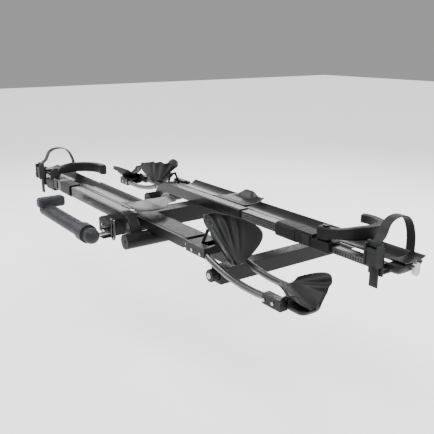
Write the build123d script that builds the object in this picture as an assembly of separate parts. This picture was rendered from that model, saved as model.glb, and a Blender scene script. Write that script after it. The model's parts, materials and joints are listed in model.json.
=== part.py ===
from build123d import *
import os
from math import cos, hypot, radians, sin, sqrt

# Hitch mounted two-bike platform rack: two mirrored telescoping wheel trays on a central
# spine, each with a rocking front-wheel jaw, a swinging rear claw and a ratchet strap, all
# carried by an offset 50 mm hitch arm. Rack frame: X along the trays, Y from the near tray
# to the far tray, Z up, millimetres. Exported parts are moved so that the centre of the
# hitch pin hole is the origin.

# ---------------------------------------------------------------- driving dimensions
PIN_HOLE = (565, 430, 25)          # hitch pin hole, rack frame

NEAR_TRAY_X, NEAR_TRAY_Y = 180, -140
FAR_TRAY_X, FAR_TRAY_Y = -300, 216
NEAR_JAW_X, FAR_JAW_X = 180, 10
FAR_JAW_DROP = 6                   # the far jaw sits this much lower
JAW_OFFSET_Y = 18                  # jaw centre line beyond the trough centre line

RAIL_Y0, RAIL_Y1 = -88, -46        # outer rail sides, from the trough centre line
RAIL_Z0, RAIL_Z1 = 93, 133
RAIL_WALL = 3
RAIL_END = 620
SLIDE_GAP = 1                      # clearance between telescoping sections
NEAR_EXTENSION, FAR_EXTENSION = 0, 275
COLLAR_START = 547                 # collar's inboard end with the tray closed
COLLAR_LENGTH = 95
COLLAR_Z0, COLLAR_Z1 = 89, 138
BOX_START = COLLAR_START + 97
BOX_LENGTH = 76
TRACK_END = COLLAR_START + 436
TRACK_Z0, TRACK_Z1 = 98, 118
CLAW_ROOT = COLLAR_START + 207
NEAR_STRAP, FAR_STRAP = COLLAR_START + 308, COLLAR_START + 423
NEAR_CLAW_SWING = 31               # how far the near claw is swung inboard, degrees
CLAW_HEIGHT = 38
SCOOP_Y0 = -70                     # rail side of the bowl at the tray's end
STRAP_FOOT_Y = 58
LEVER_Y, LEVER_Z = -109, 161
PULL_Y, PULL_Z, PULL_R = -12, (102, 115), 3.5

TROUGH_HALF = 46
TROUGH_DEPTH = 17
TROUGH_T = 3
TROUGH_EDGE = 138                  # height of the trough's far edge
TROUGH_TILT = 5                    # how much lower its edge at the rail is
TROUGH_REACH = COLLAR_START + 436  # where the sliding trough turns into the end tongue
TONGUE_DEPTH = 6
TROUGH_START, TROUGH_END = 130, 540

BARREL_R, BARREL_Z = 27, 47
BARREL_Y0, BARREL_Y1 = -119, 45

SPINE_X0, SPINE_X1 = -20, 50
SPINE_Y0, SPINE_Y1 = -250, 300
SPINE_Z0, SPINE_Z1 = 30, 93

SHANK = 50
SHANK_X0 = 540
SHANK_Y0, SHANK_Y1 = -140, 480
SHANK_WALL = 6
HITCH_PIN_R = 8

JAW_HALF, JAW_Z0, JAW_Z1 = 45, 72, 104
JAW_PIN_J, JAW_PIN_Z = 255, 91
JAW_PIN_R = 6
TUBE_Y, TUBE_R = 51, 10.5
CHEEK_Y = 63                       # outer face of the plates that hold the jaw tubes
TUBE_ARC_R, TUBE_LOW_J, TUBE_LOW_Z = 620, 585, 50
TUBE_J0, TUBE_J1 = 340, 720
CUP_PIN_J, CUP_PIN_Z, CUP_PIN_R = 690, 55, 5
INNER_VALLEY = ((435, 82), (318, 160))
OUTER_VALLEY = ((640, 52), (766, 88))
RUNNING = 0.05                     # radial clearance of a running fit

HANDLE_Y, HANDLE_Z, HANDLE_R = -342, 60, 27.5
HANDLE_X0, HANDLE_X1 = -354, 88


# ---------------------------------------------------------------- helpers
def block(x0, x1, y0, y1, z0, z1, r=0):
    """Box between limits; r rounds its long X edges."""
    solid = Pos((x0 + x1) / 2, (y0 + y1) / 2, (z0 + z1) / 2) * Box(x1 - x0, y1 - y0, z1 - z0)
    if r:
        solid = fillet(solid.edges().filter_by(Axis.X), r)
    return solid


def rod(start, end, r):
    """Cylinder from one point to another."""
    a, b = Vector(*start), Vector(*end)
    plane = Plane(origin=a, z_dir=b - a)
    return extrude(plane * Circle(r), (b - a).length)


def side_profile(points, y0, y1):
    """Prism of an X-Z outline given as straight points, between two Y values."""
    face = Plane.XZ * make_face(Polyline(*points, close=True))
    return Pos(0, y1, 0) * extrude(face, y1 - y0)


def place_tray(solid, tray):
    """Tray frame (X outward from the barrel, Y from the trough centre) to rack frame."""
    if tray == "near":
        return Pos(NEAR_TRAY_X, NEAR_TRAY_Y, 0) * mirror(solid, about=Plane.YZ)
    return Pos(FAR_TRAY_X, FAR_TRAY_Y, 0) * solid


def place_jaw(solid, tray):
    """Jaw frame (X outward, Y from the jaw centre line) to rack frame."""
    if tray == "near":
        return Pos(NEAR_JAW_X, NEAR_TRAY_Y + JAW_OFFSET_Y, 0) * solid
    moved = mirror(solid, about=Plane.YZ)
    return Pos(FAR_JAW_X, FAR_TRAY_Y + JAW_OFFSET_Y, -FAR_JAW_DROP) * moved


def extension(tray):
    return NEAR_EXTENSION if tray == "near" else FAR_EXTENSION


# ---------------------------------------------------------------- fixed frame
def spine_beam():
    outer = block(SPINE_X0, SPINE_X1, SPINE_Y0, SPINE_Y1, SPINE_Z0, SPINE_Z1)
    inner = block(SPINE_X0 + 4, SPINE_X1 - 4, SPINE_Y0, SPINE_Y1, SPINE_Z0 + 4, SPINE_Z1 - 4)
    return outer - inner


def spine_end_caps():
    caps = []
    for y0, y1, t0, t1 in ((SPINE_Y0 - 6, SPINE_Y0, SPINE_Y0, SPINE_Y0 + 20),
                           (SPINE_Y1, SPINE_Y1 + 6, SPINE_Y1 - 20, SPINE_Y1)):
        plate = block(SPINE_X0, SPINE_X1, y0, y1, SPINE_Z0, SPINE_Z1)
        plug = block(SPINE_X0 + 4, SPINE_X1 - 4, t0, t1, SPINE_Z0 + 4, SPINE_Z1 - 4)
        caps.append(plate + plug)
    return caps


def cross_arm():
    outer = block(SPINE_X1, SHANK_X0, -40, 10, 5, 50)
    inner = block(SPINE_X1, SHANK_X0, -36, 6, 9, 46)
    return outer - inner


def hitch_shank():
    x1 = SHANK_X0 + SHANK
    outer = block(SHANK_X0, x1, SHANK_Y0, SHANK_Y1, 0, SHANK)
    inner = block(SHANK_X0 + SHANK_WALL, x1 - SHANK_WALL, SHANK_Y0, SHANK_Y1,
                  SHANK_WALL, SHANK - SHANK_WALL)
    x, y, z = PIN_HOLE
    return outer - inner - rod((SHANK_X0 - 5, y, z), (x1 + 5, y, z), HITCH_PIN_R)


def shank_plugs():
    w = SHANK_WALL
    x0, x1 = SHANK_X0 + w, SHANK_X0 + SHANK - w
    knob_block = block(x0, x1, SHANK_Y0, SHANK_Y0 + 50, w, SHANK - w)
    knob_block += block(SHANK_X0, SHANK_X0 + SHANK, SHANK_Y0 - 8, SHANK_Y0, 0, SHANK)
    cx = SHANK_X0 + SHANK / 2
    knob_block -= rod((cx, SHANK_Y0 - 20, 27), (cx, SHANK_Y0 + 40, 27), 7 + RUNNING)
    end_plug = block(x0, x1, SHANK_Y1 - 25, SHANK_Y1, w, SHANK - w)
    end_plug += block(SHANK_X0, SHANK_X0 + SHANK, SHANK_Y1, SHANK_Y1 + 5, 0, SHANK)
    return [knob_block, end_plug]


def hitch_knob():
    cx = SHANK_X0 + SHANK / 2
    front = SHANK_Y0 - 34
    knob = rod((cx, front, 27), (cx, SHANK_Y0 - 10, 27), 20.5)
    knob = chamfer(knob.edges().filter_by(GeomType.CIRCLE), 2)
    for k in range(12):
        a = radians(30 * k)
        x, z = cx + 21.5 * cos(a), 27 + 21.5 * sin(a)
        knob -= rod((x, front - 1, z), (x, SHANK_Y0 - 9, z), 2.5)
    knob += rod((cx, SHANK_Y0 - 12, 27), (cx, SHANK_Y0 + 36, 27), 7)
    return knob - rod((cx, front - 1, 27), (cx, front + 12, 27), 9)


def knob_lock():
    cx = SHANK_X0 + SHANK / 2
    front = SHANK_Y0 - 34
    core = rod((cx, front - 2, 27), (cx, front + 12, 27), 9)
    return core - block(cx - 4, cx + 4, front - 3, front + 1, 26, 28)


def clamp_barrels():
    barrels = []
    for tray in ("near", "far"):
        barrel = rod((0, BARREL_Y0, BARREL_Z), (0, BARREL_Y1, BARREL_Z), BARREL_R)
        for k in range(16):
            a = radians(22.5 * k)
            x, z = (BARREL_R + 1) * cos(a), BARREL_Z + (BARREL_R + 1) * sin(a)
            barrel -= rod((x, BARREL_Y0 - 1, z), (x, BARREL_Y1 + 1, z), 1.6)
        barrel -= rod((0, BARREL_Y0 - 1, BARREL_Z), (0, BARREL_Y1 + 1, BARREL_Z), 10)
        barrels.append(place_tray(barrel, tray))
    return barrels


def barrel_caps():
    caps = []
    for tray in ("near", "far"):
        for face, out in ((BARREL_Y0, -1), (BARREL_Y1, 1)):
            cap = rod((0, face, BARREL_Z), (0, face + 3 * out, BARREL_Z), BARREL_R)
            cap += rod((0, face + 3 * out, BARREL_Z), (0, face + 5 * out, BARREL_Z), 6)
            cap += rod((0, face, BARREL_Z), (0, face - 20 * out, BARREL_Z), 10)
            caps.append(place_tray(cap, tray))
    return caps


def outer_rail(tray):
    """Box rail with a gooseneck at its inboard end that drops onto the barrel."""
    y0, y1 = RAIL_Y0, RAIL_Y1
    top = [Line((RAIL_END, RAIL_Z1), (98, RAIL_Z1)),
           ThreePointArc((98, RAIL_Z1), (38, 112), (5, 60)),
           Line((5, 60), (50, 50)),
           ThreePointArc((50, 50), (79, 81), (128, RAIL_Z0)),
           Line((128, RAIL_Z0), (RAIL_END, RAIL_Z0)),
           Line((RAIL_END, RAIL_Z0), (RAIL_END, RAIL_Z1))]
    body = Pos(0, y1, 0) * extrude(Plane.XZ * make_face(top), y1 - y0)
    edge = [e for e in body.edges().filter_by(Axis.X) if e.center().Z > RAIL_Z1 - 1]
    body = chamfer(edge, 4)
    w = RAIL_WALL
    body -= block(150, RAIL_END + 1, y0 + w, y1 - w, RAIL_Z0 + w, RAIL_Z1 - w)
    body -= rod((0, y0 - 5, BARREL_Z), (0, y1 + 5, BARREL_Z), BARREL_R)
    return place_tray(body, tray)


def trough_arc(half0, half1, edge, depth):
    """Arc across the trough; the edge at the rail side is lower."""
    mid = (half1 - half0) / 2
    bottom = edge - TROUGH_TILT / 2 - depth
    return ThreePointArc((-half0, edge - TROUGH_TILT), (mid, bottom), (half1, edge))


def arc_ends(curve):
    return [(p.X, p.Y) for p in (curve @ 0, curve @ 1)]


def trough_solid(x0, x1, edge, depth=TROUGH_DEPTH):
    """Curved channel whose upper edge is at the given height."""
    top = trough_arc(-RAIL_Y1, TROUGH_HALF, edge, depth)
    low = trough_arc(-RAIL_Y1, TROUGH_HALF, edge - TROUGH_T, depth)
    (a, b), (c, d) = arc_ends(top), arc_ends(low)
    outline = [top, Line(b, d), low, Line(c, a)]
    return Pos(x0, 0, 0) * extrude(Plane.YZ * make_face(outline), x1 - x0)


def above_trough(x0, x1, edge, depth=TROUGH_DEPTH):
    """Everything from the trough's underside upwards, for trimming what carries it."""
    low = trough_arc(-RAIL_Y1, TROUGH_HALF, edge - TROUGH_T, depth)
    a, b = arc_ends(low)
    high = edge + 50
    outline = [low, Line(b, (b[0], high)), Line((b[0], high), (a[0], high)),
               Line((a[0], high), a)]
    return Pos(x0, 0, 0) * extrude(Plane.YZ * make_face(outline), x1 - x0)


def outer_troughs():
    trough = trough_solid(TROUGH_START, TROUGH_END, TROUGH_EDGE)
    return [place_tray(trough, tray) for tray in ("near", "far")]


def sheet(points, z, t):
    """Closed flat sheet with a smooth outline."""
    line = Spline(*[(x, y) for x, y in points], periodic=True)
    return Pos(0, 0, z) * extrude(make_face(line), t)


def deck_covers():
    near = sheet([(40, -176), (98, -178), (148, -145), (160, -75), (98, -22), (33, 16),
                  (0, -32), (13, -92)], TROUGH_EDGE, 4)
    saddle = sheet([(30, 180), (150, 176), (250, 172), (318, 182), (322, 229), (300, 266),
                    (230, 266), (120, 259), (60, 234)], TROUGH_EDGE, 4)
    lip = block(235, 296, 258, 262, TROUGH_EDGE + 4, TROUGH_EDGE + 14)
    return [near, saddle + lip]


def latch_plates():
    front = block(-14, 110, -266, -260, 42, 93)
    front -= block(60, 96, -270, -255, 52, 82)
    side = block(SPINE_X1, SPINE_X1 + 6, -260, -228, 42, 93)
    packer = block(-14, 40, -260, SPINE_Y0 - 6, 42, 93)
    arms = block(62, 91, -300, -266, 42, 48) + block(62, 91, -300, -266, 76, 82)
    return [front + side + packer, arms]


def latch_rods():
    y, low = -270, 50
    pair = rod((100, y, low), (100, y, 112), 4) + rod((122, y, low), (122, y, 112), 4)
    loop = Pos(111, y, low) * Rot(90, 0, 0) * Torus(11, 3)
    return pair + (loop - block(80, 140, y - 18, y + 18, low, low + 30))


def latch_bolts():
    bolt = rod((36, -274, 58), (36, -266, 58), 8)
    nut = rod((20, -271, 74), (20, -266, 74), 4)
    pivot = rod((88, -266, 61), (88, -345, 61), 6)
    return [bolt, nut, pivot]


# ---------------------------------------------------------------- release handle
def t_handle_arm():
    y, z = HANDLE_Y, HANDLE_Z
    arm = rod((HANDLE_X0, y, z), (60, y, z), HANDLE_R)
    for k in range(15):
        x = HANDLE_X0 + 78 + 17 * k
        groove = rod((x, y, z), (x + 3, y, z), HANDLE_R + 1)
        arm -= groove - rod((x, y, z), (x + 3, y, z), HANDLE_R - 1)
    arm += rod((18, y, z), (62, y, z), 34)
    arm += Pos(HANDLE_X1, y, z) * Sphere(28)
    arm += rod((55, y, z), (HANDLE_X1, y, z), 26)
    return arm - rod((88, -300, 61), (88, -346, 61), 6 + RUNNING)


def t_handle_grip():
    """Cross bar of the T, sitting on the arm's end."""
    x, y, z = HANDLE_X0 + 18, HANDLE_Y, HANDLE_Z
    grip = block(x - 23, x + 23, -380, -272, z + 10, z + 52)
    grip = fillet(grip.edges(), 12)
    return grip - rod((HANDLE_X0 - 10, y, z), (HANDLE_X0 + 60, y, z), HANDLE_R)


# ---------------------------------------------------------------- sliding tray sections
def at_extension(solid, tray):
    return place_tray(Pos(extension(tray), 0, 0) * solid, tray)


def inner_rail(tray):
    y0, y1 = RAIL_Y0 + RAIL_WALL + SLIDE_GAP, RAIL_Y1 - RAIL_WALL - SLIDE_GAP
    z0, z1 = RAIL_Z0 + RAIL_WALL + SLIDE_GAP, RAIL_Z1 - RAIL_WALL - SLIDE_GAP
    start, end = COLLAR_START - 330, BOX_START + BOX_LENGTH
    tube = block(start, end, y0, y1, z0, z1)
    tube -= block(start, end - 20, y0 + 3, y1 - 3, z0 + 3, z1 - 3)
    for z in (z0 + 6, z0 + 14, z0 + 22):
        tube -= block(start - 1, BOX_START, y0 - 1, y0 + 1, z, z + 3)
    track = block(end, TRACK_END, y0, y1, TRACK_Z0, TRACK_Z1)
    for k in range(17):
        x = end + 80 + 10 * k
        track -= block(x, x + 4, y0 - 1, y0 + 2, TRACK_Z0 + 4, TRACK_Z1 - 4)
    return at_extension(tube + track, tray)


def inner_trough(tray):
    edge = TROUGH_EDGE - TROUGH_T - 2
    start, end = COLLAR_START - 300, TROUGH_REACH
    body = trough_solid(start, end, edge)
    body += trough_solid(end, end + 50, edge, TONGUE_DEPTH)
    strut = block(BOX_START + 20, BOX_START + 60, -43, -28, 100, 140)
    body += strut - above_trough(start, end, edge)
    return at_extension(body - block(start - 1, end + 60, -50, -43, 90, 150), tray)


def rail_collar(tray):
    x0, x1 = COLLAR_START, COLLAR_START + COLLAR_LENGTH
    g = SLIDE_GAP
    body = block(x0, x1, RAIL_Y0 - 6, RAIL_Y1 + 2, COLLAR_Z0, COLLAR_Z1)
    edges = body.edges().filter_by(Axis.X).sort_by(Axis.Y)
    body = fillet(edges[:2], 12)
    body -= block(x0 - 1, x1 - 15, RAIL_Y0 - g, RAIL_Y1 + g, RAIL_Z0 - g, RAIL_Z1 + g)
    inset = RAIL_WALL + g
    body -= block(x0, x1 + 1, RAIL_Y0 + inset, RAIL_Y1 - inset, RAIL_Z0 + inset,
                  RAIL_Z1 - inset)
    return at_extension(body, tray)


def latch_box(tray):
    x0, x1 = BOX_START, BOX_START + BOX_LENGTH
    body = block(x0, x1, RAIL_Y0 - 5, RAIL_Y1 + 3, RAIL_Z0 + 1, RAIL_Z1 + 5, r=3)
    inset = RAIL_WALL + SLIDE_GAP
    body -= block(x0 - 1, x1 + 1, RAIL_Y0 + inset, RAIL_Y1 - inset, RAIL_Z0 + inset,
                  RAIL_Z1 - inset)
    body -= block(x1 - 42, x1 - 8, RAIL_Y0 - 6, RAIL_Y0 + inset, 98, 134)
    return at_extension(body, tray)


def release_button(tray):
    x1 = BOX_START + BOX_LENGTH
    pad = block(x1 - 41, x1 - 9, RAIL_Y0 - 8, RAIL_Y0 - 1.5, 99, 133)
    pad = fillet(pad.edges().filter_by(Axis.Y), 3)
    return at_extension(pad, tray)


def claw_bracket(tray):
    y = (RAIL_Y0 + RAIL_Y1) / 2
    x = CLAW_ROOT
    base = block(x - 20, x + 22, y - 17, y + 17, TRACK_Z1, 126.5)
    pin = rod((x, y, 120), (x, y, 171), 6) + rod((x, y, 170.5), (x, y, 174), 11)
    return at_extension(base + pin, tray)


def claw_arm(tray):
    """Curved box-section arm that hooks across the trough, swinging on an upright pin."""
    path = ThreePointArc((0, 0, 146.5), (100, 100, 155), (25, 207, 157))
    start = Plane(origin=path @ 0, z_dir=path % 0, x_dir=(0, 0, 1))
    arm = sweep(start * RectangleRounded(CLAW_HEIGHT, 25, 5), path=path)
    arm += rod((0, 0, 127.5), (0, 0, 170), 17)
    arm -= rod((0, 0, 120), (0, 0, 180), 6 + RUNNING)
    turn = NEAR_CLAW_SWING if tray == "near" else 0
    arm = Pos(CLAW_ROOT, (RAIL_Y0 + RAIL_Y1) / 2, 0) * Rot(0, 0, turn) * arm
    return at_extension(arm, tray)


def end_scoop(tray):
    """Thin-walled bowl under the end tongue, closed over the rail track's end."""
    x, edge = TROUGH_REACH, TROUGH_EDGE - TROUGH_T - 2
    lid = edge - TROUGH_T - TROUGH_TILT
    outer = side_profile([(x, 134), (x, 95), (x + 14, 88), (x + 30, 92), (x + 50, 118),
                          (x + 56, 134)], SCOOP_Y0, 45)
    inner = side_profile([(x + 3, 140), (x + 3, 97), (x + 15, 91.5), (x + 28, 95),
                          (x + 47, 119), (x + 54, 140)], SCOOP_Y0 + 3, 42)
    inner -= block(x, x + 60, SCOOP_Y0, -43, lid - 3, 150)
    outer -= block(x - 1, x + 60, SCOOP_Y0 - 1, -43, lid, 150)
    body = outer - inner - above_trough(x - 1, x + 60, edge, TONGUE_DEPTH)
    for z in PULL_Z:
        body -= rod((x, PULL_Y, z), (x + 60, PULL_Y, z), PULL_R + RUNNING)
    return at_extension(body, tray)


def pull_handle(tray):
    x = TROUGH_REACH + 58
    z0, z1 = PULL_Z
    cap = rod((x, PULL_Y, z0), (x + 9, PULL_Y, z0), 13)
    cap += rod((x, PULL_Y, z1), (x + 9, PULL_Y, z1), 13)
    cap += block(x, x + 9, PULL_Y - 13, PULL_Y + 13, z0, z1)
    for z in PULL_Z:
        cap += rod((TROUGH_REACH + 12, PULL_Y, z), (x + 1, PULL_Y, z), PULL_R)
    return at_extension(cap, tray)


# ---------------------------------------------------------------- strap unit
def at_strap(solid, tray):
    where = NEAR_STRAP if tray == "near" else FAR_STRAP
    return at_extension(Pos(where, 0, 0) * solid, tray)


def strap_base(tray):
    near_plate = block(-25, 25, -92, -86, 86, 170)
    under = block(-16, 16, -92, 66, 86, 92)
    upright = block(-20, 20, 48, STRAP_FOOT_Y - 2, 86, 126)
    clip = block(-20, 20, STRAP_FOOT_Y + 3, STRAP_FOOT_Y + 8, 86, 124)
    return at_strap(near_plate + under + upright + clip, tray)


def wheel_strap(tray):
    """Flat strap: tail, near leg, arch over the wheel and far foot."""
    foot = STRAP_FOOT_Y
    tail = Line((-95, 50), (-95, 172))
    arch = Spline((-95, 172), (-77, 195), (-58, 228), (-12, 245), (30, 230), (52, 190),
                  (foot, 130), tangents=((0, 1), (0, -1)))
    band = trace(tail + arch + Line((foot, 130), (foot, 94)), line_width=4)
    return at_strap(extrude(Plane.YZ * band, 15, both=True), tray)


def strap_buckle(tray):
    body = block(-25, 25, -103, -99, 169, 185)
    for x0, x1 in ((-25, -19), (19, 25)):
        body += block(x0, x1, -116, -92, 115, 179)
        body += block(x0, x1, -103, -92, 169, 185)
    body += rod((-19, LEVER_Y, LEVER_Z), (19, LEVER_Y, LEVER_Z), 2.5)
    return at_strap(body, tray)


def ratchet_lever(tray):
    y, z = LEVER_Y, LEVER_Z
    lever = block(-17, 17, y - 4, y - 0.5, z - 44, z + 6)
    lever += rod((-17, y, z), (17, y, z), 6)
    lever -= rod((-20, y, z), (20, y, z), 2.5 + RUNNING)
    return at_strap(lever, tray)


# ---------------------------------------------------------------- front-wheel jaw
def tube_z(j):
    return TUBE_LOW_Z + TUBE_ARC_R - sqrt(TUBE_ARC_R ** 2 - (j - TUBE_LOW_J) ** 2)


def jaw_tube(y, longer=0):
    ends = (TUBE_J0 - longer, TUBE_J1 + longer)
    mid = (ends[0] + ends[1]) / 2
    path = ThreePointArc((ends[0], y, tube_z(ends[0])), (mid, y, tube_z(mid)),
                         (ends[1], y, tube_z(ends[1])))
    return sweep(Plane(origin=path @ 0, z_dir=path % 0) * Circle(TUBE_R), path=path)


def jaw_bases():
    solids = []
    for tray, inboard in (("near", SPINE_X1 - NEAR_JAW_X), ("far", FAR_JAW_X - SPINE_X0)):
        body = block(inboard, 227, -JAW_HALF, JAW_HALF, JAW_Z0, JAW_Z1)
        body -= block(inboard, 222, -JAW_HALF + 4, JAW_HALF - 4, JAW_Z0 + 4, JAW_Z1 - 4)
        body -= block(inboard, 228, -34, -31, JAW_Z1 - 2, JAW_Z1 + 1)
        for y0, y1 in ((-JAW_HALF, -39), (39, JAW_HALF)):
            ear = block(222, JAW_PIN_J, y0, y1, 76, JAW_Z1)
            ear += rod((JAW_PIN_J, y0, JAW_PIN_Z), (JAW_PIN_J, y1, JAW_PIN_Z), 13)
            body += ear
        body -= rod((JAW_PIN_J, -50, JAW_PIN_Z), (JAW_PIN_J, 50, JAW_PIN_Z), JAW_PIN_R)
        if tray == "near":
            y = JAW_OFFSET_Y
            body -= rod((0, -60, BARREL_Z), (0, BARREL_Y1 - y + 6, BARREL_Z), BARREL_R)
        solids.append(place_jaw(body, tray))
    return solids


def jaw_pins():
    pins = []
    for tray in ("near", "far"):
        pin = rod((JAW_PIN_J, -48, JAW_PIN_Z), (JAW_PIN_J, 48, JAW_PIN_Z), JAW_PIN_R)
        for y0, y1 in ((-48, -45), (45, 48)):
            pin += rod((JAW_PIN_J, y0, JAW_PIN_Z), (JAW_PIN_J, y1, JAW_PIN_Z), 9)
        pins.append(place_jaw(pin, tray))
    return pins


def jaw_yoke(tray):
    body = block(JAW_PIN_J, 352, -37.5, 37.5, 81, 105)
    body += rod((JAW_PIN_J, -37.5, JAW_PIN_Z), (JAW_PIN_J, 37.5, JAW_PIN_Z), 14)
    body -= block(300, 340, -24, 24, 87, 106)
    for side in (-1, 1):
        y0, y1 = sorted((side * 37.5, side * CHEEK_Y))
        body += block(292, 374, y0, y1, 81, 112)
        y0, y1 = sorted((side * 50, side * CHEEK_Y))
        body += block(272, 292, y0, y1, 81, 112)
    for side in (-1, 1):
        body -= jaw_tube(side * TUBE_Y)
    body -= rod((JAW_PIN_J, -40, JAW_PIN_Z), (JAW_PIN_J, 40, JAW_PIN_Z), JAW_PIN_R + RUNNING)
    return place_jaw(body, tray)


def jaw_tubes(tray):
    return [place_jaw(jaw_tube(side * TUBE_Y), tray) for side in (-1, 1)]


def jaw_rivets(tray):
    heads = []
    for j, z in ((308, 92), (352, 90), (656, 50), (692, 52)):
        for side in (-1, 1):
            y = side * CHEEK_Y
            heads.append(place_jaw(rod((j, y, z), (j, y + side * 2.5, z), 5), tray))
    return heads


def cup_bracket(tray):
    parts = []
    for side in (-1, 1):
        y0, y1 = sorted((side * 37, side * CHEEK_Y))
        body = block(648, 722, y0, y1, 38, 68) - jaw_tube(side * TUBE_Y, 20)
        parts.append(body)
    pin = rod((CUP_PIN_J, -37, CUP_PIN_Z), (CUP_PIN_J, 37, CUP_PIN_Z), CUP_PIN_R)
    return [place_jaw(s, tray) for s in parts + [pin]]


def wing(p0, p1, lengths, lean, side, t=5, flare=(0, 0)):
    """Fan-shaped plate that leans away from the valley line p0 to p1 (X-Z points)."""
    d = Vector(p1[0] - p0[0], 0, p1[1] - p0[1]).normalized()
    n = Vector(-d.Z, 0, d.X)
    if n.Z < 0:
        n = n * -1
    a = radians(lean)
    w = n * cos(a) + Vector(0, side * sin(a), 0)
    plane = Plane(origin=(p0[0], 0, p0[1]), x_dir=d, z_dir=d.cross(w))
    span = hypot(p1[0] - p0[0], p1[1] - p0[1])
    face = make_face(Polyline((0, 0), (span, 0), (span + flare[1], lengths[1]),
                              (-flare[0], lengths[0]), close=True))
    corners = [v for v in face.vertices() if v.Y > 1]
    face = fillet(corners, 22)
    return extrude(plane * face, t / 2, both=True)


def inner_cup_solid():
    (j0, z0), (j1, z1) = INNER_VALLEY
    cup = rod((j0, 0, z0), (j1, 0, z1), 7)
    for side in (-1, 1):
        cup += wing(*INNER_VALLEY, (94, 94), 48, side, flare=(0, 8))
    post = side_profile([(335, 105), (350, 105), (383, 114), (335, 147), (318, 157)], -8, 8)
    return cup + post


def inner_cup(tray):
    return place_jaw(inner_cup_solid(), tray)


def cup_strut(tray):
    """A-shaped prop from the yoke's top to the back of the inner cup."""
    j, z = INNER_VALLEY[1][0] + 2, INNER_VALLEY[1][1] - 12
    strut = rod((j, -16, z), (j, 16, z), 5)
    for side in (-1, 1):
        strut += rod((312, side * 30, 100), (j, side * 12, z), 5)
    strut -= block(300, 340, -40, 40, 90, 105)
    return place_jaw(strut - inner_cup_solid(), tray)


def outer_cup(tray):
    (j0, z0), (j1, z1) = OUTER_VALLEY
    cup = rod((j0, 0, z0), (j1, 0, z1), 7)
    for side in (-1, 1):
        cup += wing(*OUTER_VALLEY, (84, 100), 55, side, flare=(0, 6))
    for y0, y1 in ((-80, -34), (34, 80)):
        cup -= block(600, 730, y0, y1, 20, 76)
    skid = [(658, 58), (660, 40), (725, 25), (782, 50), (800, 90), (770, 96)]
    cup += side_profile(skid, -30, 30)
    cup += rod((CUP_PIN_J, -34, CUP_PIN_Z), (CUP_PIN_J, 34, CUP_PIN_Z), 11)
    cup -= rod((CUP_PIN_J, -40, CUP_PIN_Z), (CUP_PIN_J, 40, CUP_PIN_Z), CUP_PIN_R + RUNNING)
    return place_jaw(cup, tray)


# ---------------------------------------------------------------- assembly and export
def all_nodes():
    nodes = {"spine_beam": spine_beam(), "spine_end_caps": spine_end_caps(),
             "cross_arm": cross_arm(), "hitch_shank": hitch_shank(),
             "shank_plugs": shank_plugs(), "hitch_knob": hitch_knob(),
             "knob_lock": knob_lock(), "clamp_barrels": clamp_barrels(),
             "barrel_caps": barrel_caps(), "outer_troughs": outer_troughs(),
             "deck_covers": deck_covers(), "latch_plates": latch_plates(),
             "latch_rods": latch_rods(), "latch_bolts": latch_bolts(),
             "t_handle_arm": t_handle_arm(), "t_handle_grip": t_handle_grip(),
             "jaw_bases": jaw_bases(), "jaw_pins": jaw_pins()}
    pieces = (outer_rail, inner_rail, inner_trough, rail_collar, latch_box, release_button,
              claw_bracket, claw_arm, end_scoop, pull_handle, strap_base, wheel_strap,
              strap_buckle, ratchet_lever, jaw_yoke, jaw_tubes, jaw_rivets, cup_bracket,
              inner_cup, cup_strut, outer_cup)
    for tray in ("near", "far"):
        for piece in pieces:
            nodes[f"{tray}_{piece.__name__}"] = piece(tray)
    return nodes


def main():
    os.makedirs("parts", exist_ok=True)
    shift = Pos(*[-c for c in PIN_HOLE])
    for name, shape in all_nodes().items():
        solids = shape if isinstance(shape, list) else [shape]
        flat = [s for item in solids for s in item.solids()]
        moved = [shift * s for s in flat]
        export_step(moved[0] if len(moved) == 1 else Compound(children=moved),
                    f"parts/{name}.step")


main()
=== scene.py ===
import json
import math

import bmesh
import bpy
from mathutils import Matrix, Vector


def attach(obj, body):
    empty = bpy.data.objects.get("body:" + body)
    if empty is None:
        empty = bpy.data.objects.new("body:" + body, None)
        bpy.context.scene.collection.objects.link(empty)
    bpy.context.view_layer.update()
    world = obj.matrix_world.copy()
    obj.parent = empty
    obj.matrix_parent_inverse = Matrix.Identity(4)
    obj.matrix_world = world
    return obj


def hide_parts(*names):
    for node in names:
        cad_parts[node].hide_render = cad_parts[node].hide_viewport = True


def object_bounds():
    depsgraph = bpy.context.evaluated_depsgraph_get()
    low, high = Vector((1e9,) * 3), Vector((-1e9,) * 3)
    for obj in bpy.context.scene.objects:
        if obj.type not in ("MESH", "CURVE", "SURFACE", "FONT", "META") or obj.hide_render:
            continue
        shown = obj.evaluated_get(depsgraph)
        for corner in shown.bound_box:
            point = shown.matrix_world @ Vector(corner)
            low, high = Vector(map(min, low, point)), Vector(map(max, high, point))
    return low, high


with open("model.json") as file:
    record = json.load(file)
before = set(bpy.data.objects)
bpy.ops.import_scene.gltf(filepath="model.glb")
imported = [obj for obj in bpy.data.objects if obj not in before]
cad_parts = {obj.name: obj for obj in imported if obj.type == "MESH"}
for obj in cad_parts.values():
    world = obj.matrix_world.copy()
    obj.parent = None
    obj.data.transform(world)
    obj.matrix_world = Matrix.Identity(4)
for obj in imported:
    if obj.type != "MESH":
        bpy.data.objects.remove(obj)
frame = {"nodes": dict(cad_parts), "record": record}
CAD_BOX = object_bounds()
NODES = frame["nodes"]
NEAR, FAR = "near", "far"
MM = 0.001

# Places in the rack frame, millimetres: X along the trays, Y away from the near side, Z up
PIN_HOLE = (565, 430, 25)
NEAR_TRAY_X, NEAR_TRAY_Y = 180, -140
FAR_TRAY_X, FAR_TRAY_Y = -25, 216
NEAR_JAW_X, NEAR_JAW_Y = 180, -122
FAR_JAW_X, FAR_JAW_Y, FAR_JAW_DROP = 10, 234, 6

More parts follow.
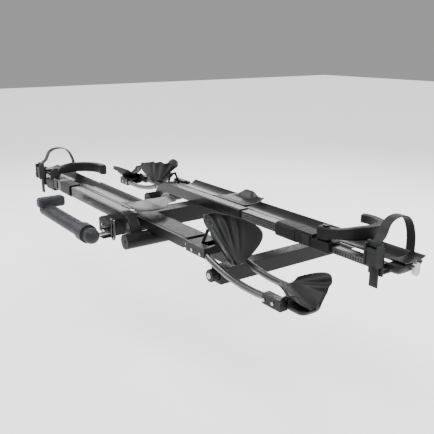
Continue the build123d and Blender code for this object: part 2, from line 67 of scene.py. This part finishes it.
EDGE_ROUND = 0.9                   # rounding of the CAD parts' hard edges, mm
WING_THICK, SHOE_THICK, COVER_THICK = 4.2, 3.6, 3.2
FLOOR_DROP, FLOOR_HALF = 0.4, 14   # floor below the rack and half its side, m


# ---------------------------------------------------------------- camera, light, floor
def add_camera():
    data = bpy.data.cameras.new("camera")
    data.lens = 50
    data.sensor_width = 36
    cam = bpy.data.objects.new("camera", data)
    bpy.context.scene.collection.objects.link(cam)
    cam.location = (1.404, -1.574, 0.6845)
    forward = Vector((-0.815 * 0.960, 0.580 * 0.960, -0.279))
    cam.rotation_mode = "QUATERNION"
    cam.rotation_quaternion = forward.to_track_quat("-Z", "Y")
    data.clip_end = 50
    bpy.context.scene.camera = cam


def area(name, where, target, size, power):
    data = bpy.data.lights.new(name, "AREA")
    data.shape = "RECTANGLE"
    data.size, data.size_y = size
    data.energy = power
    lamp = bpy.data.objects.new(name, data)
    bpy.context.scene.collection.objects.link(lamp)
    lamp.location = where
    aim = Vector(target) - Vector(where)
    lamp.rotation_mode = "QUATERNION"
    lamp.rotation_quaternion = aim.to_track_quat("-Z", "Y")
    lamp.visible_camera = False


def add_light():
    middle = (CAD_BOX[0] + CAD_BOX[1]) / 2
    area("key", middle + Vector((0.3, -0.9, 2.4)), middle, (2.6, 1.6), 100)
    area("side", middle + Vector((-2.3, -1.2, 1.1)), middle, (1.4, 1.6), 30)
    area("back", middle + Vector((0.6, 2.4, 1.5)), middle, (2.8, 1.2), 90)
    area("sheen", middle + Vector((-2.9, 2.0, 1.25)), middle, (3.2, 0.9), 45)
    world = bpy.data.worlds.new("studio")
    world.use_nodes = True
    world.node_tree.nodes["Background"].inputs["Color"].default_value = (1, 1, 1, 1)
    world.node_tree.nodes["Background"].inputs["Strength"].default_value = 0.36
    bpy.context.scene.world = world


# ---------------------------------------------------------------- materials
def tree_of(name):
    made = bpy.data.materials.new(name)
    made.use_nodes = True
    tree = made.node_tree
    return made, tree, tree.nodes["Principled BSDF"]


def noise(tree, scale, detail=3.0, stretch=(1, 1, 1)):
    coords = tree.nodes.new("ShaderNodeTexCoord")
    mapping = tree.nodes.new("ShaderNodeMapping")
    mapping.inputs["Scale"].default_value = stretch
    tree.links.new(coords.outputs["Object"], mapping.inputs["Vector"])
    node = tree.nodes.new("ShaderNodeTexNoise")
    node.inputs["Scale"].default_value = scale
    node.inputs["Detail"].default_value = detail
    tree.links.new(mapping.outputs["Vector"], node.inputs["Vector"])
    return node.outputs["Fac"]


def ramp(tree, value, low, high, c0, c1):
    node = tree.nodes.new("ShaderNodeValToRGB")
    node.color_ramp.elements[0].position = low
    node.color_ramp.elements[1].position = high
    node.color_ramp.elements[0].color = (*c0, 1)
    node.color_ramp.elements[1].color = (*c1, 1)
    tree.links.new(value, node.inputs["Fac"])
    return node.outputs["Color"]


def to_range(tree, value, low, high):
    node = tree.nodes.new("ShaderNodeMapRange")
    node.inputs["From Min"].default_value = 0.3
    node.inputs["From Max"].default_value = 0.7
    node.inputs["To Min"].default_value = low
    node.inputs["To Max"].default_value = high
    tree.links.new(value, node.inputs["Value"])
    return node.outputs["Result"]


def finish_of(name, colour, rough, metallic=0.0, spread=0.12, patch=9, grain=900,
              bump=0.12, stretch=(1, 1, 1), coat=0.0, specular=0.2,
              uneven=0.07):
    """A surface with drifting colour, uneven gloss and a fine grain."""
    made, tree, shader = tree_of(name)
    dark = [c * (1 - spread) for c in colour]
    light = [min(1, c * (1 + spread)) for c in colour]
    patches = noise(tree, patch, 4)
    tree.links.new(ramp(tree, patches, 0.32, 0.68, dark, light), shader.inputs["Base Color"])
    streaks = noise(tree, grain / 12, 3, stretch)
    tree.links.new(to_range(tree, streaks, rough - uneven, rough + uneven),
                   shader.inputs["Roughness"])
    fine = noise(tree, grain, 2, stretch)
    node = tree.nodes.new("ShaderNodeBump")
    node.inputs["Strength"].default_value = bump
    node.inputs["Distance"].default_value = 0.0004
    tree.links.new(fine, node.inputs["Height"])
    tree.links.new(node.outputs["Normal"], shader.inputs["Normal"])
    shader.inputs["Metallic"].default_value = metallic
    shader.inputs["Coat Weight"].default_value = coat
    shader.inputs["Specular IOR Level"].default_value = specular
    return made


DRAWN = (0.05, 1, 1)               # grain drawn out along the profile
MATERIALS = {
    "frame_black": finish_of("frame_black", (0.0075, 0.0076, 0.0080), 0.40, bump=0.12),
    "rail_black": finish_of("rail_black", (0.0095, 0.0096, 0.0100), 0.33, bump=0.08, coat=0.2),
    "tray_grey": finish_of("tray_grey", (0.030, 0.031, 0.032), 0.30, metallic=0.7,
                           spread=0.08, patch=5, grain=700, bump=0.02, stretch=DRAWN,
                           coat=0.2, uneven=0.03),
    "cover_grey": finish_of("cover_grey", (0.020, 0.0205, 0.021), 0.38, metallic=0.2,
                            spread=0.10, patch=7, grain=1500, bump=0.10, coat=0.15),
    "cap_black": finish_of("cap_black", (0.0085, 0.0085, 0.0088), 0.50, grain=1600, bump=0.18),
    "button_grey": finish_of("button_grey", (0.018, 0.018, 0.019), 0.45, grain=1600,
                             bump=0.18),
    "claw_grey": finish_of("claw_grey", (0.012, 0.0122, 0.0126), 0.45, grain=1800, bump=0.18),
    "cup_grey": finish_of("cup_grey", (0.016, 0.0163, 0.0168), 0.52, grain=1800, bump=0.2),
    "handle_grey": finish_of("handle_grey", (0.026, 0.0285, 0.033), 0.52, grain=2200,
                             bump=0.2),
    "knob_black": finish_of("knob_black", (0.008, 0.008, 0.0085), 0.42, grain=1600, bump=0.18),
    "strap_grey": finish_of("strap_grey", (0.026, 0.0265, 0.0275), 0.55, grain=2400, bump=0.22),
    "tube_silver": finish_of("tube_silver", (0.13, 0.132, 0.135), 0.30, metallic=0.92,
                             spread=0.08, patch=12, grain=1400, bump=0.05, stretch=DRAWN),
    "rail_metal": finish_of("rail_metal", (0.075, 0.076, 0.078), 0.30, metallic=0.9,
                            spread=0.10, patch=12, grain=1400, bump=0.05, stretch=DRAWN),
    "zinc": finish_of("zinc", (0.42, 0.425, 0.43), 0.26, metallic=1.0, spread=0.08,
                      patch=40, grain=1800, bump=0.06),
}


# ---------------------------------------------------------------- CAD nodes that stay
def soften(node):
    """Rounds the hard edges a little so that they catch the light."""
    obj = NODES[node]
    weld = obj.modifiers.new("weld", "WELD")
    weld.merge_threshold = 2e-6
    bevel = obj.modifiers.new("bevel", "BEVEL")
    bevel.width = EDGE_ROUND * MM
    bevel.segments = 2
    bevel.limit_method = "ANGLE"
    bevel.angle_limit = math.radians(32)
    obj.modifiers.new("normals", "WEIGHTED_NORMAL")


def paint(node, material):
    obj = NODES[node]
    obj.data.materials.clear()
    obj.data.materials.append(MATERIALS[material])


SLOTS = {row["node"]: row["material_slot"] for row in frame["record"]["subparts"]}
for node_name, slot_name in SLOTS.items():
    paint(node_name, slot_name)
    soften(node_name)
for tray in (NEAR, FAR):
    paint(f"{tray}_outer_rail", "rail_black")
    paint(f"{tray}_inner_rail", "rail_metal")
paint("near_latch_box", "rail_metal")
paint("latch_rods", "rail_metal")

# ---------------------------------------------------------------- making pieces
def rack(x, y, z):
    """Rack frame in millimetres, as in the CAD source, to metres from the hitch pin hole."""
    return Vector((x - PIN_HOLE[0], y - PIN_HOLE[1], z - PIN_HOLE[2])) * MM


def in_tray(tray, x, y, z):
    """Place on a tray's sliding part: x outward along the tray, y from the trough's middle."""
    if tray == NEAR:
        return rack(NEAR_TRAY_X - x, NEAR_TRAY_Y + y, z)
    return rack(FAR_TRAY_X + x, FAR_TRAY_Y + y, z)


def in_jaw(tray, j, y, z):
    """Place on a jaw: j outward along the jaw, y from the jaw's middle."""
    if tray == NEAR:
        return rack(NEAR_JAW_X + j, NEAR_JAW_Y + y, z)
    return rack(FAR_JAW_X - j, FAR_JAW_Y + y, z - FAR_JAW_DROP)


def piece(name, verts, faces, material, body, slot, *nodes):
    """New mesh piece on a body, which takes the place of the CAD nodes named last."""
    mesh = bpy.data.meshes.new(name)
    mesh.from_pydata([tuple(v) for v in verts], [], faces)
    mesh.validate()
    bm = bmesh.new()
    bm.from_mesh(mesh)
    bmesh.ops.remove_doubles(bm, verts=bm.verts, dist=1e-6)
    bmesh.ops.recalc_face_normals(bm, faces=bm.faces)
    bm.to_mesh(mesh)
    bm.free()
    for face in mesh.polygons:
        face.use_smooth = True
    mesh.materials.append(MATERIALS[material])
    obj = bpy.data.objects.new(name, mesh)
    bpy.context.scene.collection.objects.link(obj)
    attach(obj, body)
    if nodes:
        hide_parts(*nodes)
    return obj


def smooth(obj):
    sub = obj.modifiers.new("smooth", "SUBSURF")
    sub.levels = sub.render_levels = 1


def thicken(obj, thickness):
    """Gives a sheet its thickness, half to each side, and rounds it."""
    solid = obj.modifiers.new("solid", "SOLIDIFY")
    solid.thickness = thickness * MM
    solid.offset = 0.0
    smooth(obj)


def grid(nu, nv, at):
    """Sheet of nu by nv faces through the points at(u, v), with u and v from 0 to 1."""
    verts = [at(i / nu, k / nv) for i in range(nu + 1) for k in range(nv + 1)]
    faces = [(a, a + 1, a + nv + 2, a + nv + 1)
             for i in range(nu) for a in range(i * (nv + 1), i * (nv + 1) + nv)]
    return verts, faces


def ease(x, low, high):
    """Smooth step from 0 at low to 1 at high."""
    t = min(1, max(0, (x - low) / (high - low)))
    return t * t * (3 - 2 * t)


def loft(rings):
    """Skin over equal rings of points, closed at both ends."""
    n = len(rings[0])
    verts = [p for ring in rings for p in ring]
    faces = [(i * n + k, i * n + (k + 1) % n, (i + 1) * n + (k + 1) % n, (i + 1) * n + k)
             for i in range(len(rings) - 1) for k in range(n)]
    faces.append(tuple(range(n)))
    faces.append(tuple(range((len(rings) - 1) * n, len(rings) * n)))
    return verts, faces


def oval(centre, across, up, count=20, power=2.0):
    """Ring of points; power 2 is an ellipse and more is squarer."""
    ring = []
    for k in range(count):
        a = 2 * math.pi * k / count
        c, s = math.cos(a), math.sin(a)
        ring.append(centre + across * math.copysign(abs(c) ** (2 / power), c)
                    + up * math.copysign(abs(s) ** (2 / power), s))
    return ring


# ---------------------------------------------------------------- wheel cups
def fan(valley, length, lean, start, sweep, ribs, ribbed):
    """Two wings that meet in a rounded valley; returns a point function in jaw axes
    (outward, across, up). u runs along the valley and v across the wings. The outline
    of a wing is the part of a sine arch between the two shares in start, and sweep pulls
    the rim towards the valley's first end. Pleats fan out from that end, between the two
    angles in ribbed, and the rest is a smooth bowl."""
    (j0, z0), (j1, z1) = valley
    span = math.hypot(j1 - j0, z1 - z0)
    dj, dz = (j1 - j0) / span, (z1 - z0) / span
    nj, nz = (-dz, dj) if dj > 0 else (dz, -dj)
    lean = math.radians(lean)
    low, high = ribbed

    def at(u, v):
        side = -1 if v < 0.5 else 1
        s = abs(2 * v - 1)
        rise = start[0] + (start[1] - start[0]) * u
        reach = length * math.sin(math.pi * rise)
        along = span * (u - sweep * s * math.sin(math.pi * min(1, u / 0.9)))
        out = reach * s
        angle = math.degrees(math.atan2(out, along + 20))
        inside = ease(angle, low - 4, low + 4) * ease(-angle, -high - 4, -high + 4)
        ridge = math.sin(2 * math.pi * ribs * (angle - low) / (high - low)) * inside
        lift = 5.5 * ridge * ease(math.hypot(out, along), 15, 130)
        lift -= 7 * math.sin(math.pi * s) * min(1, reach / 60)
        across = side * (math.sin(lean) * out - math.cos(lean) * lift)
        up = math.cos(lean) * out + math.sin(lean) * lift + 5 * (1 - s) ** 3
        return (j0 + dj * along + nj * up, across, z0 + dz * along + nz * up)
    return at


def cup(tray, which, body, shape):
    at = fan(**shape)
    verts, faces = grid(56, 40, lambda u, v: in_jaw(tray, *at(u, v)))
    wings = piece(f"{tray}_{which}_wings", verts, faces, "cup_grey", body, "claw_grey",
                  f"{tray}_{which}")
    thicken(wings, WING_THICK)


def cup_spine(tray, points, half_width):
    """Rounded backbone under the inner cup's wings; each point is outward place, height
    and half thickness."""
    rings = []
    for k, (j, z, half_height) in enumerate(points):
        a = points[max(0, k - 1)]
        b = points[min(len(points) - 1, k + 1)]
        tilt = math.atan2(b[1] - a[1], b[0] - a[0])
        end = 0.6 if k in (0, len(points) - 1) else 1.0
        ring = []
        for m in range(20):
            t = 2 * math.pi * m / 20
            y = half_width * end * math.copysign(abs(math.cos(t)) ** 0.6, math.cos(t))
            h = half_height * math.copysign(abs(math.sin(t)) ** 0.7, math.sin(t))
            ring.append(in_jaw(tray, j - h * math.sin(tilt), y, z + h * math.cos(tilt)))
        rings.append(ring)
    verts, faces = loft(rings)
    smooth(piece(f"{tray}_inner_cup_spine", verts, faces, "cup_grey", f"{tray}_jaw",
                 "claw_grey"))


def shoe(tray):
    """Shell below the outer cup's wings, closed to a rounded toe at the far end."""
    def at(u, v):
        a = math.pi * v
        toe = max(0.0, (u - 0.78) / 0.22)
        floor = 41 - 8 * math.sin(math.pi * min(1, 0.85 * u)) + 16 * toe ** 3
        brim = 72 - 12 * u + 8 * math.cos(a)
        half = (30 + 9 * ease(u, 0.1, 0.6)) * max(0.0, 1 - toe ** 2.4) ** 0.5
        y = half * math.copysign(abs(math.cos(a)) ** 0.6, math.cos(a))
        z = brim - (brim - floor) * abs(math.sin(a)) ** 0.7
        return (655 + 130 * u, y, z)

    verts, faces = grid(28, 28, lambda u, v: in_jaw(tray, *at(u, v)))
    shell = piece(f"{tray}_outer_cup_shoe", verts, faces, "cup_grey", f"{tray}_cup",
                  "claw_grey")
    thicken(shell, SHOE_THICK)


INNER_CUP = {"valley": ((455, 68), (281, 185)), "length": 124, "lean": 38,
             "start": (0.13, 0.985), "sweep": 0.22, "ribs": 2.5, "ribbed": (5, 38)}
OUTER_CUP = {"valley": ((676, 83), (782, 50)), "length": 102, "lean": 55,
             "start": (0.12, 0.93), "sweep": -0.08, "ribs": 1, "ribbed": (28, 46)}
INNER_SPINE = [(446, 70, 6), (420, 84, 9), (392, 104, 9), (366, 121, 9), (342, 137, 9),
               (322, 148, 7)]


def make_cups():
    for tray in (NEAR, FAR):
        cup(tray, "inner_cup", f"{tray}_jaw", INNER_CUP)
        cup_spine(tray, INNER_SPINE, 13)
        cup(tray, "outer_cup", f"{tray}_cup", OUTER_CUP)
        shoe(tray)


# ---------------------------------------------------------------- deck covers
def make_covers():
    def saddle(u, v):
        """Dished cover on the far trough with a raised corner on its far side."""
        x = 86 + 212 * u + 40 * v * (1 - u)
        y = 172 + 92 * v
        dip = 6 * math.sin(math.pi * v) * (0.6 + 0.4 * math.sin(math.pi * u))
        flange = 25 * ease(v, 0.70, 1.0) * ease(u, 0.05, 0.4) * (1 - 0.6 * ease(u, 0.6, 0.8))
        nose = 2.5 * ease(u, 0.9, 1.0) - 2 * ease(-u, -0.12, 0.0)
        return rack(x, y, 136.5 + 4.5 * v - dip + flange + nose - 2.5)

    verts, faces = grid(40, 22, saddle)
    far = piece("far_deck_cover", verts, faces, "cover_grey", "frame", "cover_grey",
                "deck_covers")
    thicken(far, COVER_THICK)

    def ramp_cover(u, v):
        """Cover from the near trough down to the cross arm, narrowing as it goes."""
        y = -182 + 205 * v
        left = 2 + 28 * v + 10 * math.sin(math.pi * v)
        right = 128 + 20 * math.sin(math.pi * min(1, 1.35 * v)) - 66 * ease(v, 0.45, 1)
        x = left + (right - left) * u
        roll = 9 * u ** 2.2 + 7 * ease(v, 0.7, 1.0) * u
        dip = 5 * math.sin(math.pi * min(1, v / 0.45)) if v < 0.45 else 0
        return rack(x, y, 140 - roll - dip * (1 - u))

    verts, faces = grid(26, 34, ramp_cover)
    near = piece("near_deck_cover", verts, faces, "cover_grey", "frame", "cover_grey")
    thicken(near, COVER_THICK)


# ---------------------------------------------------------------- scoops at the tray ends
def make_scoops():
    """Rounded bowl under the end of each trough, narrower towards its floor."""
    for tray in (NEAR, FAR):
        rings = []
        for k in range(9):
            t = k / 8
            z = 121.5 - 33.5 * t
            shrink = (1 - t ** 2.6) ** 0.5 if t < 1 else 0.0
            x0, x1 = 983.5, 1036 - 6 * t
            half_x = (x1 - x0) / 2 * (0.35 + 0.65 * shrink)
            half_y = 57 * (0.42 + 0.58 * shrink)
            centre = in_tray(tray, (x0 + x1) / 2 - 3 * t, -13, z)
            across = Vector((half_x * MM, 0, 0))
            rings.append(oval(centre, across, Vector((0, half_y * MM, 0)), 36, 4.5))
        verts, faces = loft(rings)
        smooth(piece(f"{tray}_end_bowl", verts, faces, "cap_black", f"{tray}_slide",
                     "cap_black", f"{tray}_end_scoop"))


# ---------------------------------------------------------------- claws
CLAW_ROOT, CLAW_PIN_Y = 754, -67                # the upright pin, on the sliding part
CLAW_CENTRE, CLAW_RADIUS = (-5.7, 101), 105.8    # the arc, from the pin
CLAW_FIRST, CLAW_SWEEP = -86.8, 160.6            # degrees
NEAR_CLAW_SWING = 31


def claw_ring(tray, t, swing, dip):
    """Cross-section of a claw at the share t of its arc; dip lowers the top at the tip."""
    a = math.radians(CLAW_FIRST + CLAW_SWEEP * max(0, t))
    x = CLAW_CENTRE[0] + CLAW_RADIUS * math.cos(a) + 120 * min(0, t)
    y = CLAW_CENTRE[1] + CLAW_RADIUS * math.sin(a)
    half = 13 + 5 * (1 - ease(t, 0.0, 0.16)) + 1.5 * ease(t, 0.7, 1.0)
    top = 169.5 + 11 * ease(t, 0.08, 0.4) - dip * ease(t, 0.7, 1.0)
    bottom = 127.6 + 11.2 * ease(t, 0.04, 0.14)
    turn = math.radians(swing)
    c, s = math.cos(turn), math.sin(turn)
    points = []
    for across, z in [(p.x, p.y) for p in oval(Vector((0, 0, 0)), Vector((1, 0, 0)),
                                               Vector((0, 1, 0)), 28, 6)]:
        px = x + across * half * math.cos(a)
        py = y + across * half * math.sin(a)
        height = (top + bottom) / 2 + z * (top - bottom) / 2
        points.append(in_tray(tray, CLAW_ROOT + px * c - py * s,
                              CLAW_PIN_Y + px * s + py * c, height))
    return points


def make_claws():
    """Tall curved arms; the far hook shows more of its arc than the near one."""
    for tray, swing, dip, end in ((NEAR, NEAR_CLAW_SWING, 0, 1.02), (FAR, 0, 13, 1.20)):
        stops = [-0.16, -0.15] + [end * k / 40 for k in range(40)] + [end - 0.006, end]
        verts, faces = loft([claw_ring(tray, t, swing, dip) for t in stops])
        claw = piece(f"{tray}_claw_shell", verts, faces, "claw_grey", f"{tray}_claw",
                     "claw_grey", f"{tray}_claw_arm")
        claw.modifiers.new("normals", "WEIGHTED_NORMAL")


def make_housings():
    """Moulded block on the rail under the claw's pin."""
    for tray, x0, x1, z0 in ((NEAR, 722, 812, 80), (FAR, 719, 792, 93)):
        rings = []
        for x, share in ((x0, 0.9), (x0 + 1.5, 0.97), (x0 + 4, 1), (x1 - 4, 1),
                         (x1 - 1.5, 0.97), (x1, 0.9)):
            centre = in_tray(tray, x, -68, (z0 + 126.6) / 2)
            rings.append(oval(centre, Vector((0, 27 * share * MM, 0)),
                              Vector((0, 0, (126.6 - z0) / 2 * share * MM)), 32, 9))
        verts, faces = loft(rings)
        block = piece(f"{tray}_claw_housing", verts, faces, "cap_black", f"{tray}_slide",
                      "cap_black")
        block.modifiers.new("normals", "WEIGHTED_NORMAL")


# ---------------------------------------------------------------- straps
def make_strap_teeth():
    """Moulded ratchet ribs on each strap's tail."""
    for tray, where in ((NEAR, 855), (FAR, 970)):
        verts, faces = [], []
        for k in range(16):
            z = 56 + 3.6 * k
            base = len(verts)
            for dx, dy, dz in ((-11, -97.0, 0), (11, -97.0, 0), (11, -98.1, 1.6),
                               (-11, -98.1, 1.6), (-11, -97.0, 2.0), (11, -97.0, 2.0)):
                verts.append(in_tray(tray, where + dx, dy, z + dz))
            faces += [(base, base + 1, base + 2, base + 3),
                      (base + 3, base + 2, base + 5, base + 4),
                      (base, base + 3, base + 4), (base + 1, base + 5, base + 2)]
        piece(f"{tray}_strap_teeth", verts, faces, "strap_grey", f"{tray}_strap",
              "strap_grey")


make_cups()
make_covers()
make_scoops()
make_claws()
make_housings()
make_strap_teeth()


# ---------------------------------------------------------------- floor
def add_floor():
    made, tree, shader = tree_of("floor")
    tone = ramp(tree, noise(tree, 1.5, 2), 0.3, 0.7, (0.86, 0.86, 0.86), (0.9, 0.9, 0.9))
    tree.links.new(tone, shader.inputs["Base Color"])
    shader.inputs["Roughness"].default_value = 0.9
    shader.inputs["Emission Color"].default_value = (1, 1, 1, 1)
    shader.inputs["Emission Strength"].default_value = 1.1
    mesh = bpy.data.meshes.new("floor")
    z, half = CAD_BOX[0].z - FLOOR_DROP, FLOOR_HALF
    mesh.from_pydata([(-half, -half, z), (half, -half, z), (half, half, z), (-half, half, z)],
                     [], [(0, 1, 2, 3)])
    mesh.materials.append(made)
    floor = bpy.data.objects.new("floor", mesh)
    bpy.context.scene.collection.objects.link(floor)


add_camera()
add_light()
add_floor()
